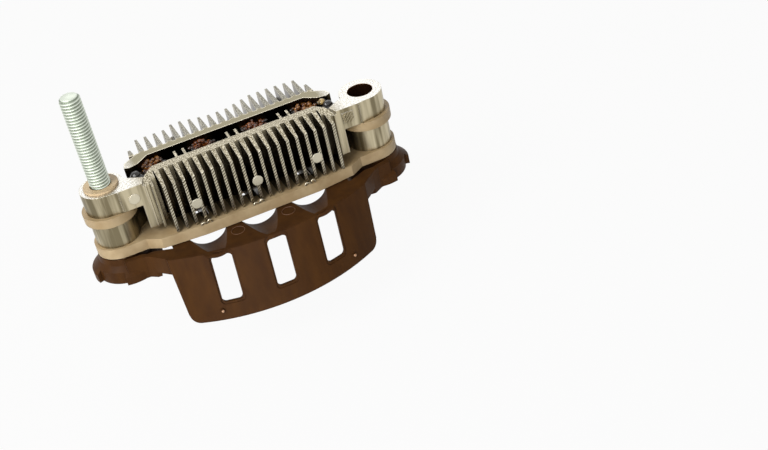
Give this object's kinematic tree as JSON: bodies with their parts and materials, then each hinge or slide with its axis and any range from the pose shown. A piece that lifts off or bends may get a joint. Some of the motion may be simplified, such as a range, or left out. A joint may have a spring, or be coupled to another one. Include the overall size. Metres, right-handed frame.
{
  "type": "alternator rectifier",
  "caption": "Alternator rectifier: finned heatsinks with diodes on a moulded terminal board, threaded output stud, fixing bore and brown air guide flange.",
  "frame": {"origin": "axis of the fixing bore, at the seating plane of the two upper ears", "axes": "+X from the output stud to the fixing bore, +Y from the front heatsink to the rear one, +Z along the stud to its free end"},
  "size_m": [0.1334, 0.0738, 0.0926],
  "materials": {
    "cast_aluminium": "die cast, dull with bright edges",
    "board_moulding": "beige moulding",
    "shroud_moulding": "glossy brown moulding",
    "zinc_plated_steel": "zinc plated",
    "insulating_moulding": "beige moulding",
    "tinned_copper": "tinned",
    "diode_case": "nickel plated",
    "potting_resin": "cured resin",
    "end_resin": "dark glossy resin"
  },
  "bodies": {
    "root": {"negative_heatsink": "cast_aluminium", "positive_heatsink": "cast_aluminium", "terminal_board": "board_moulding", "air_shroud": "shroud_moulding", "output_stud": "zinc_plated_steel", "stud_bush": "insulating_moulding", "washer_stud_side": "insulating_moulding", "washer_bolt_side": "insulating_moulding", "stator_terminal_1": "tinned_copper", "negative_diode_1": "diode_case", "positive_diode_1": "diode_case", "resin_1": "potting_resin", "stator_terminal_2": "tinned_copper", "negative_diode_2": "diode_case", "positive_diode_2": "diode_case", "resin_2": "potting_resin", "stator_terminal_3": "tinned_copper", "negative_diode_3": "diode_case", "positive_diode_3": "diode_case", "resin_3": "potting_resin", "stator_terminal_4": "tinned_copper", "negative_diode_4": "diode_case", "positive_diode_4": "diode_case", "resin_4": "potting_resin", "link_strap_1": "tinned_copper", "link_strap_2": "tinned_copper", "link_strap_3": "tinned_copper", "contact_plate_1": "tinned_copper", "end_insulator_1": "end_resin", "contact_plate_2": "tinned_copper", "end_insulator_2": "end_resin"}
  },
  "joints": []
}
